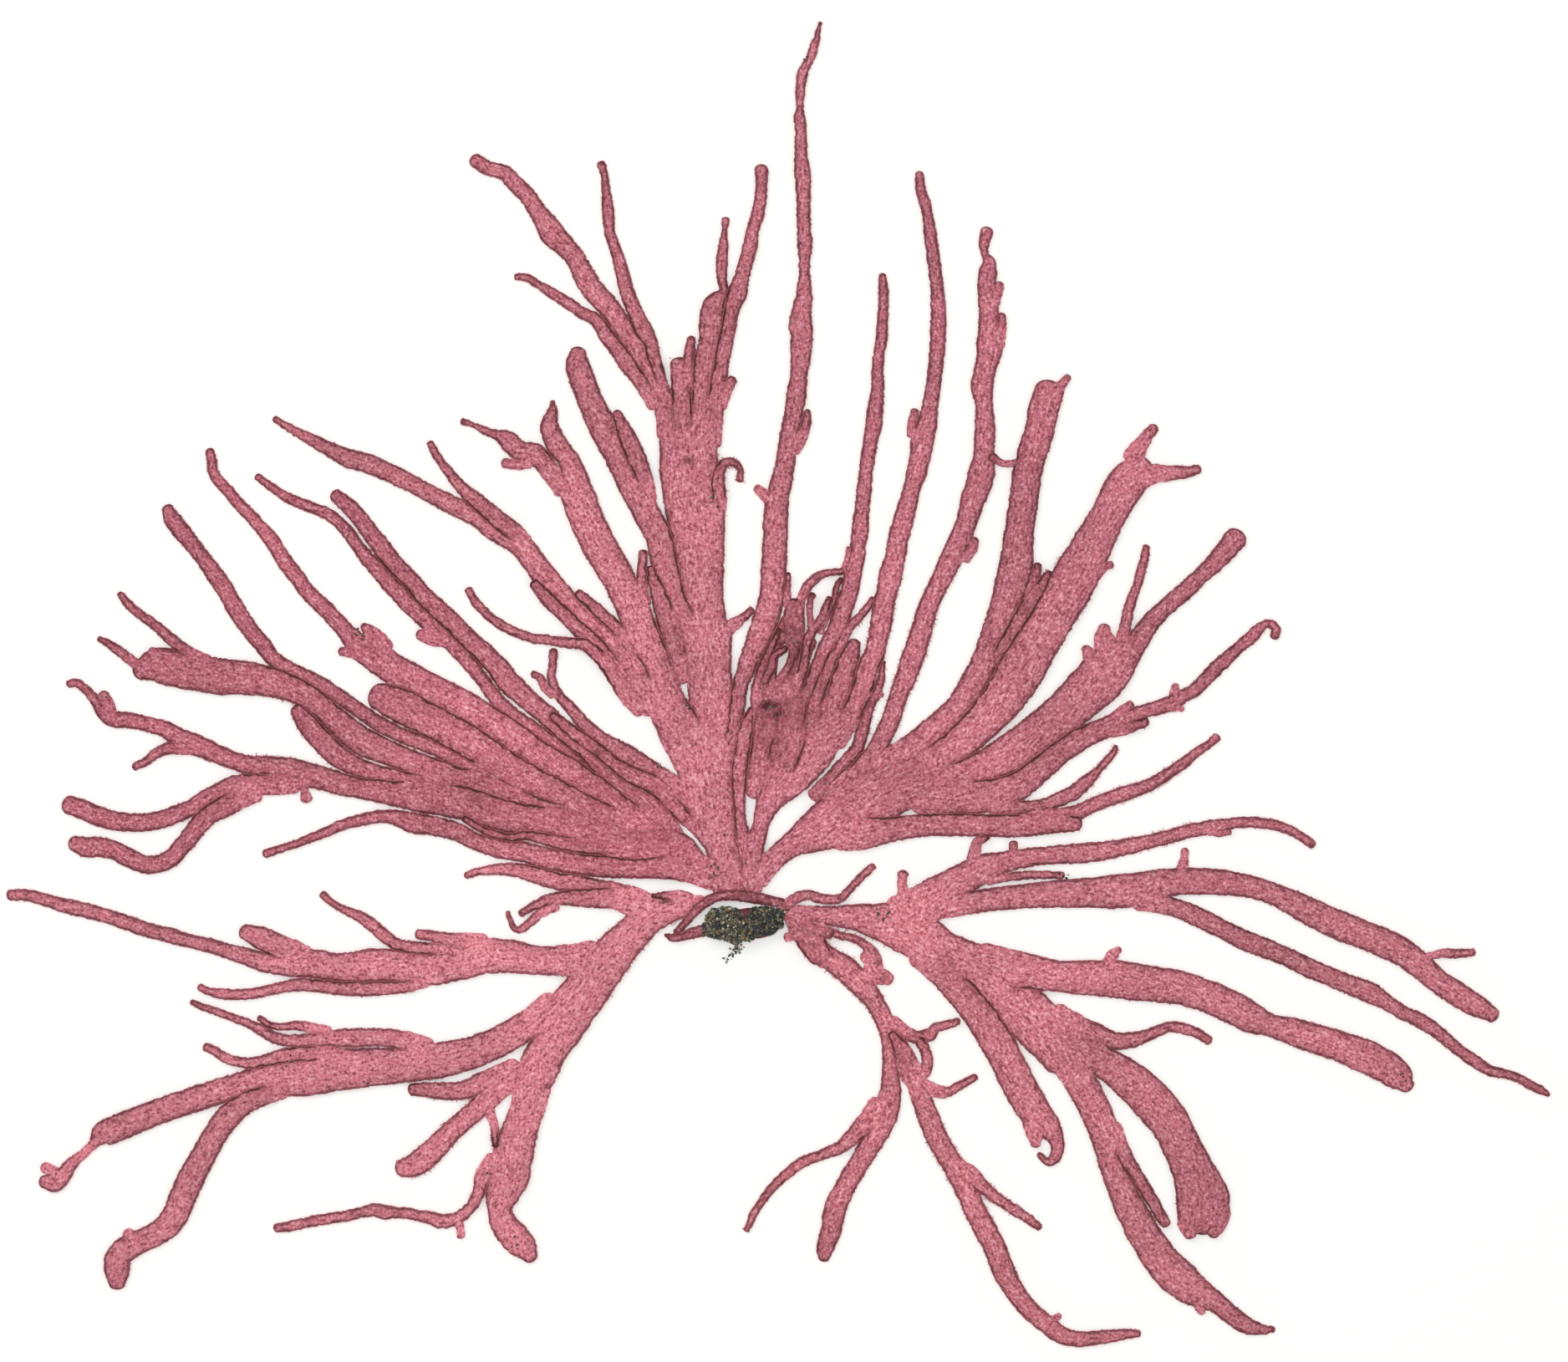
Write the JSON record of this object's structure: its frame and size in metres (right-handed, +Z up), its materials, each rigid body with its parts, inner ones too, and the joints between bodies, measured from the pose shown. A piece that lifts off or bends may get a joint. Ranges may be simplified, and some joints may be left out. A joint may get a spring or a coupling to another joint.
{
  "type": "red alga",
  "caption": "Flat, much-branched red seaweed: forked strap-like fronds fanning out from a small holdfast crusted with sediment; lies flat on a surface.",
  "frame": {"origin": "on the flat underside of the holdfast, near its middle, where the fronds' axes meet", "axes": "+Z up, out of the surface it lies on; +X along the longest spread of the fronds, towards the right-hand fan; +Y along the central axis, towards its crown"},
  "size_m": [0.1582, 0.1358, 0.0027],
  "materials": {
    "thallus_middle": "matte, finely mottled dusty rose with pale flecks and darker margins",
    "thallus_left": "matte, finely mottled deeper rose with pale flecks and darker margins",
    "thallus_pale": "matte, finely mottled pale rose with pale flecks and darker margins",
    "holdfast": "matte, darker brownish rose",
    "sediment": "rough, dark grey-green sand grains with ochre and pale ones"
  },
  "bodies": {
    "root": {"frond_centre": "thallus_middle", "frond_left_fan": "thallus_left", "frond_left_low": "thallus_pale", "frond_right_fan": "thallus_left", "frond_right_low": "thallus_middle", "frond_low_centre": "thallus_left", "holdfast": "holdfast", "sediment_left": "sediment", "sediment_right": "sediment"}
  },
  "joints": []
}
